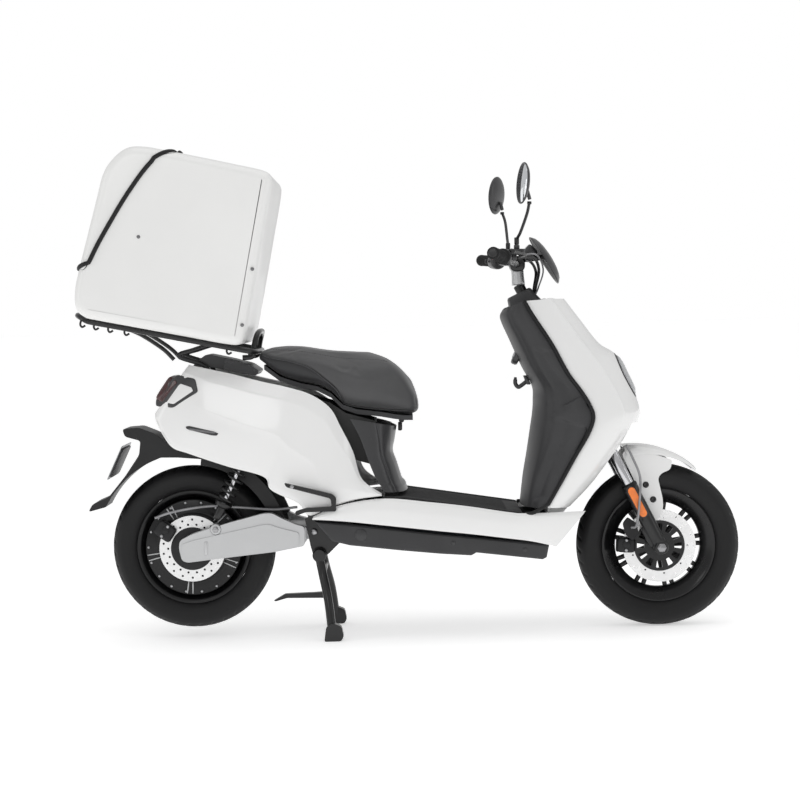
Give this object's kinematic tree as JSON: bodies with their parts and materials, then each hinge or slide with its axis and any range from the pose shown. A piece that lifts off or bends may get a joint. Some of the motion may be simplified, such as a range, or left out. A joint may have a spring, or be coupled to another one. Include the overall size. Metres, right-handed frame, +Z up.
{
  "type": "moped scooter",
  "caption": "Step-through moped scooter on its centre stand, with a hub motor in the rear wheel, disc brakes, telescopic fork and a tall lidded delivery box on the rear rack.",
  "frame": {"origin": "middle of the footprint on the ground, under the middle of the bounding box", "axes": "+X forward to the front wheel, +Y to the rider's left, +Z up from the ground"},
  "size_m": [1.8616, 0.713, 1.389],
  "materials": {
    "white_panel": "gloss paint",
    "box_white": "smooth gel coat",
    "dark_plastic": "fine grained",
    "bucket_plastic": "satin",
    "seat_vinyl": "grained vinyl",
    "floor_rubber": "ribbed",
    "grip_rubber": "diamond ribbed",
    "hose_rubber": "matt",
    "tyre_rubber": "matt with tread",
    "black_steel": "semi-gloss powder coat",
    "battery_case": "painted",
    "silver_alloy": "satin paint",
    "wheel_black": "semi-gloss paint",
    "motor_case": "satin black paint",
    "caliper_grey": "cast, painted",
    "disc_steel": "ground",
    "fork_chrome": "hard chrome",
    "lever_alloy": "satin",
    "tail_red": "clear red lens",
    "lamp_clear": "clear lens",
    "button_red": "satin"
  },
  "bodies": {
    "chassis": {"main_frame": "black_steel", "front_apron": "white_panel", "headlight_lens": "lamp_clear", "inner_leg_shield": "dark_plastic", "column_cover": "dark_plastic", "floor_mat": "floor_rubber", "side_skirt_right": "white_panel", "side_skirt_left": "white_panel", "belly_pan": "dark_plastic", "rear_body_right": "white_panel", "rear_body_left": "white_panel", "seat_pedestal": "dark_plastic", "tail_cover": "dark_plastic", "tail_light": "tail_red", "rear_mudguard": "dark_plastic", "battery_pack": "battery_case", "motor_controller": "silver_alloy", "storage_bucket": "bucket_plastic", "carrier_rack": "black_steel", "box_shell": "box_white"},
    "box_lid": {"box_lid": "box_white"},
    "seat": {"seat_base": "dark_plastic", "seat_cushion": "seat_vinyl"},
    "stand": {"centre_stand": "black_steel"},
    "swingarm": {"swingarm": "silver_alloy", "rear_caliper": "caliper_grey", "rear_brake_hose": "hose_rubber"},
    "rear_wheel": {"rear_hub_motor": "motor_case", "rear_tyre": "tyre_rubber", "rear_disc": "disc_steel"},
    "shock_cylinder_right": {"shock_cylinder_right": "black_steel"},
    "shock_cylinder_left": {"shock_cylinder_left": "black_steel"},
    "shock_rod_right": {"shock_rod_right": "fork_chrome"},
    "shock_rod_left": {"shock_rod_left": "fork_chrome"},
    "steering": {"fork_yoke": "fork_chrome", "handlebar": "black_steel", "left_grip": "grip_rubber", "switch_housing_right": "dark_plastic", "switch_housing_left": "dark_plastic", "mirror_stem_right": "black_steel", "mirror_stem_left": "black_steel", "fly_screen": "dark_plastic"},
    "fork_lowers": {"fork_lower_right": "wheel_black", "fork_lower_left": "wheel_black", "front_fender": "white_panel", "front_caliper": "caliper_grey", "front_brake_hose": "hose_rubber"},
    "front_wheel": {"front_rim": "wheel_black", "front_tyre": "tyre_rubber", "front_disc": "disc_steel"},
    "throttle": {"throttle_grip": "grip_rubber"},
    "brake_lever_right": {"brake_lever_right": "lever_alloy"},
    "brake_lever_left": {"brake_lever_left": "lever_alloy"},
    "start_button": {"start_button": "button_red"},
    "horn_button": {"horn_button": "dark_plastic"},
    "mirror_right": {"mirror_head_right": "dark_plastic"},
    "mirror_left": {"mirror_head_left": "dark_plastic"},
    "footpeg_right": {"footpeg_right": "lever_alloy"},
    "footpeg_left": {"footpeg_left": "lever_alloy"},
    "bag_hook": {"bag_hook": "dark_plastic"}
  },
  "joints": [
    {"name": "steering", "type": "hinge", "parent": "chassis", "child": "steering", "pos_m": [0.40534, 0, 0.79899], "axis": [-0.4381, 0, 0.8989], "range_deg": [-35, 35]},
    {"name": "fork_travel", "type": "slide", "parent": "steering", "child": "fork_lowers", "axis": [-0.4381, 0, 0.8989], "range_m": [0, 0.04], "stiffness_N_per_m": 16000, "springref_m": -0.03},
    {"name": "front_wheel_spin", "type": "hinge", "parent": "fork_lowers", "child": "front_wheel", "pos_m": [0.69784, 0, 0.233], "axis": [0, 1, 0], "continuous": true},
    {"name": "swingarm_pivot", "type": "hinge", "parent": "chassis", "child": "swingarm", "pos_m": [-0.28404, 0, 0.3002], "axis": [0, 1, 0], "range_deg": [0, 5], "stiffness_Nm_per_rad": 2500, "springref_deg": -4.58},
    {"name": "rear_wheel_spin", "type": "hinge", "parent": "swingarm", "child": "rear_wheel", "pos_m": [-0.63191, 0, 0.259], "axis": [0, 1, 0], "continuous": true},
    {"name": "shock_pivot_right", "type": "hinge", "parent": "chassis", "child": "shock_cylinder_right", "pos_m": [-0.44783, -0.118, 0.56846], "axis": [0, 1, 0], "range_deg": [-1, 4]},
    {"name": "shock_pivot_left", "type": "hinge", "parent": "chassis", "child": "shock_cylinder_left", "pos_m": [-0.44783, 0.118, 0.56846], "axis": [0, 1, 0], "range_deg": [-1, 4]},
    {"name": "shock_stroke_right", "type": "slide", "parent": "shock_cylinder_right", "child": "shock_rod_right", "axis": [0.4392, 0, 0.8984], "range_m": [-0.002, 0.045]},
    {"name": "shock_stroke_left", "type": "slide", "parent": "shock_cylinder_left", "child": "shock_rod_left", "axis": [0.4392, 0, 0.8984], "range_m": [-0.002, 0.045]},
    {"name": "centre_stand_fold", "type": "hinge", "parent": "chassis", "child": "stand", "pos_m": [-0.27031, 0, 0.23492], "axis": [0, 1, 0], "range_deg": [0, 72]},
    {"name": "seat_hinge", "type": "hinge", "parent": "chassis", "child": "seat", "pos_m": [-0.02897, 0, 0.60828], "axis": [0, 1, 0], "range_deg": [0, 72]},
    {"name": "box_lid_hinge", "type": "hinge", "parent": "chassis", "child": "box_lid", "pos_m": [-0.61607, 0, 1.37047], "axis": [0, 1, 0], "range_deg": [0, 95]},
    {"name": "throttle_twist", "type": "hinge", "parent": "steering", "child": "throttle", "pos_m": [0.24445, -0.284, 1.0635], "axis": [-0.2607, -0.9639, 0.055], "range_deg": [0, 70], "stiffness_Nm_per_rad": 0.4, "springref_deg": -11.46},
    {"name": "brake_lever_right", "type": "hinge", "parent": "steering", "child": "brake_lever_right", "pos_m": [0.31053, -0.22, 1.06238], "axis": [-0.0195, 0, -0.9998], "range_deg": [0, 10], "stiffness_Nm_per_rad": 1.5, "springref_deg": -5.73},
    {"name": "brake_lever_left", "type": "hinge", "parent": "steering", "child": "brake_lever_left", "pos_m": [0.31053, 0.22, 1.06238], "axis": [0.0195, 0, 0.9998], "range_deg": [0, 10], "stiffness_Nm_per_rad": 1.5, "springref_deg": -5.73},
    {"name": "start_button_press", "type": "slide", "parent": "steering", "child": "start_button", "axis": [0.9998, 0, -0.0195], "range_m": [0, 0.002], "stiffness_N_per_m": 300, "springref_m": -0.001},
    {"name": "horn_button_press", "type": "slide", "parent": "steering", "child": "horn_button", "axis": [0.9998, 0, -0.0195], "range_m": [0, 0.002], "stiffness_N_per_m": 300, "springref_m": -0.001},
    {"name": "mirror_tilt_right", "type": "hinge", "parent": "steering", "child": "mirror_right", "pos_m": [0.32585, -0.282, 1.20946], "axis": [0.0195, 0, 0.9998], "range_deg": [-18, 18]},
    {"name": "mirror_tilt_left", "type": "hinge", "parent": "steering", "child": "mirror_left", "pos_m": [0.2839, 0.282, 1.21228], "axis": [0.0195, 0, 0.9998], "range_deg": [-18, 18]},
    {"name": "footpeg_fold_right", "type": "hinge", "parent": "chassis", "child": "footpeg_right", "pos_m": [-0.22221, -0.201, 0.39301], "axis": [0.0195, 0, 0.9998], "range_deg": [0, 85]},
    {"name": "footpeg_fold_left", "type": "hinge", "parent": "chassis", "child": "footpeg_left", "pos_m": [-0.22221, 0.201, 0.39301], "axis": [-0.0195, 0, -0.9998], "range_deg": [0, 85]},
    {"name": "bag_hook_fold", "type": "hinge", "parent": "chassis", "child": "bag_hook", "pos_m": [0.32831, 0, 0.72132], "axis": [0, 1, 0], "range_deg": [0, 30]}
  ],
  "couplings": [
    {"joint": "shock_pivot_right", "follows": "swingarm_pivot", "ratio": 0.328},
    {"joint": "shock_pivot_left", "follows": "swingarm_pivot", "ratio": 0.328},
    {"joint": "shock_stroke_right", "follows": "swingarm_pivot", "m_per_rad": 0.262},
    {"joint": "shock_stroke_left", "follows": "swingarm_pivot", "m_per_rad": 0.262}
  ]
}
